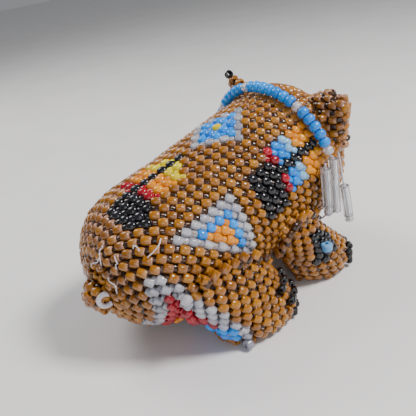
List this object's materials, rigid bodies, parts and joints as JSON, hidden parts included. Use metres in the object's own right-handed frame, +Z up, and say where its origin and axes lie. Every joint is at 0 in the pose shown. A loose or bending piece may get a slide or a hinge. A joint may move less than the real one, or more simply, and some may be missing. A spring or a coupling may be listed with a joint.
{
  "type": "beaded animal figure",
  "caption": "Small stuffed animal with a woven seed-bead skin on four flat paws, with a loose bead necklace and hanging bugle pendants.",
  "frame": {"origin": "on the ground under the middle of the figure", "axes": "+Z up, the animal faces -Y, its right side towards -X"},
  "size_m": [0.0548, 0.0796, 0.0484],
  "materials": {
    "amber_beadwork": "translucent amber seed beads woven on thread",
    "black_beads": "opaque glossy black glass",
    "blue_beads": "opaque glossy azure glass",
    "clear_beads": "clear glass over pale thread",
    "clear_bugles": "clear glass tubes",
    "pale_beads": "pale blue pearly glass",
    "thread": "pale nylon thread",
    "stuffing": "white cotton cloth and wadding"
  },
  "bodies": {
    "figure": {"body_bead_skin": "amber_beadwork", "body_stuffing": "stuffing", "head_bead_skin": "amber_beadwork", "head_stuffing": "stuffing", "left_ear": "amber_beadwork", "left_ear_tip_bead": "black_beads", "left_eye_bead": "black_beads", "left_fore_claw_beads": "black_beads", "left_fore_leg_bead_skin": "amber_beadwork", "left_fore_leg_stuffing": "stuffing", "left_forepaw_large_bead": "pale_beads", "left_hind_claw_beads": "black_beads", "left_hind_leg_bead_skin": "amber_beadwork", "left_hind_leg_stuffing": "stuffing", "muzzle_bead_skin": "amber_beadwork", "nose_beads": "black_beads", "right_ear": "amber_beadwork", "right_eye_bead": "black_beads", "right_fore_claw_beads": "black_beads", "right_fore_leg_bead_skin": "amber_beadwork", "right_fore_leg_stuffing": "stuffing", "right_forepaw_large_bead": "pale_beads", "right_hind_claw_beads": "black_beads", "right_hind_heel_bead": "clear_beads", "right_hind_leg_bead_skin": "amber_beadwork", "right_hind_leg_stuffing": "stuffing", "tail_thread_knot": "thread", "tail_tuft": "amber_beadwork"},
    "necklace": {"necklace_blue_beads": "blue_beads", "necklace_clear_beads": "clear_beads", "necklace_left_bugle": "clear_bugles", "necklace_right_bugle": "clear_bugles", "necklace_thread": "thread"},
    "right_fore_pendant": {"right_fore_pendant_glass": "clear_bugles", "right_fore_pendant_thread": "thread"},
    "right_rear_pendant": {"right_rear_pendant_glass": "clear_bugles", "right_rear_pendant_thread": "thread"},
    "left_fore_pendant": {"left_fore_pendant_glass": "clear_bugles", "left_fore_pendant_thread": "thread"},
    "left_rear_pendant": {"left_rear_pendant_glass": "clear_bugles", "left_rear_pendant_thread": "thread"}
  },
  "joints": [
    {"name": "necklace_turn", "type": "hinge", "parent": "figure", "child": "necklace", "pos_m": [0, -0.0219, 0.0267], "axis": [0, -0.9903, 0.1392], "range_deg": [-4, 4]},
    {"name": "right_fore_pendant_swing", "type": "hinge", "parent": "necklace", "child": "right_fore_pendant", "pos_m": [-0.0205, -0.02359, 0.03118], "axis": [0, 0.9903, -0.1392], "range_deg": [0, 30]},
    {"name": "right_rear_pendant_swing", "type": "hinge", "parent": "necklace", "child": "right_rear_pendant", "pos_m": [-0.0205, -0.01844, 0.03046], "axis": [0, 0.9903, -0.1392], "range_deg": [0, 30]},
    {"name": "left_fore_pendant_swing", "type": "hinge", "parent": "necklace", "child": "left_fore_pendant", "pos_m": [0.0205, -0.02359, 0.03118], "axis": [0, -0.9903, 0.1392], "range_deg": [0, 30]},
    {"name": "left_rear_pendant_swing", "type": "hinge", "parent": "necklace", "child": "left_rear_pendant", "pos_m": [0.0205, -0.01844, 0.03046], "axis": [0, -0.9903, 0.1392], "range_deg": [0, 30]}
  ]
}
